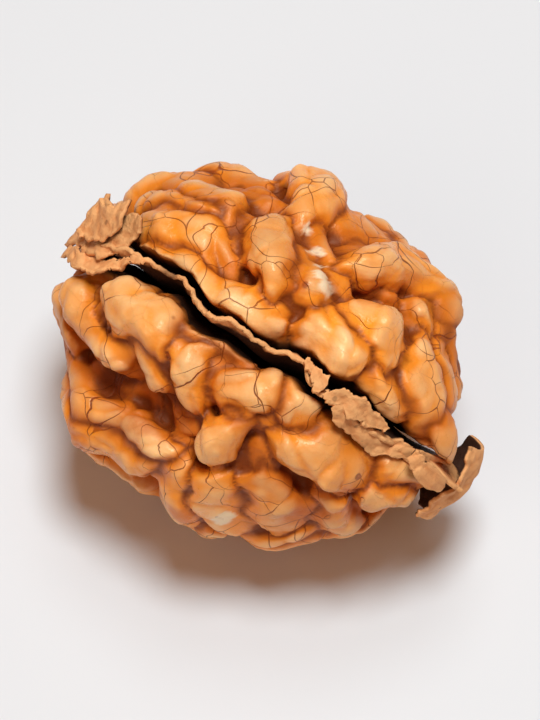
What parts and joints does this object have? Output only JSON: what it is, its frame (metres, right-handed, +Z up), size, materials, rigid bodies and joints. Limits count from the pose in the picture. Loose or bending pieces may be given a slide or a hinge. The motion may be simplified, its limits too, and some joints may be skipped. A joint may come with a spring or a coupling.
{
  "type": "walnut kernel",
  "caption": "Whole shelled walnut kernel: two folded halves with the papery partition of the shell in the fissure between them, lying on a surface.",
  "frame": {"origin": "on the surface that the kernel lies on, under the middle of its box", "axes": "+X along the kernel to the tip with the curled cap, +Y across it to the far half, +Z up"},
  "size_m": [0.0374, 0.0286, 0.0289],
  "materials": {
    "skin": "satin skin, golden brown with darker veins",
    "paper": "matte, dry and papery"
  },
  "bodies": {
    "root": {"kernel": "skin", "partition": "paper"}
  },
  "joints": []
}
